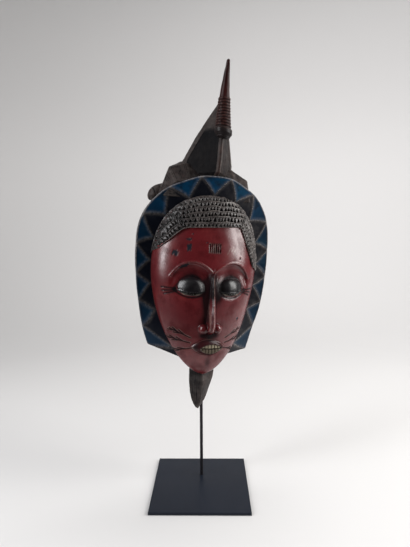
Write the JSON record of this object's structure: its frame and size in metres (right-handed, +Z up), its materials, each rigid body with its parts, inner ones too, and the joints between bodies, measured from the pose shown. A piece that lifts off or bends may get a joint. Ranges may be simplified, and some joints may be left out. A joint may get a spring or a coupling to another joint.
{
  "type": "carved face mask on stand",
  "caption": "Painted wooden face mask with a triangle-bordered collar, wedge crest, ringed horn and beard, carried upright by a steel rod on a square plate.",
  "frame": {"origin": "centre of the base plate's underside, on the surface it stands on", "axes": "+Z up along the rod; -Y towards the viewer, square to the plate's front edge; +X to the viewer's right. The mask is turned 18 degrees towards +X and leans 3.7 degrees to that side"},
  "size_m": [0.208, 0.1675, 0.6443],
  "materials": {
    "painted_wood": "carved wood under worn oil-like paint: deep red face, blue and blackened collar, black-brown hair",
    "black_steel": "satin black paint on steel"
  },
  "bodies": {
    "root": {"mask": "painted_wood", "stand_rod": "black_steel", "stand_plate": "black_steel"}
  },
  "joints": []
}
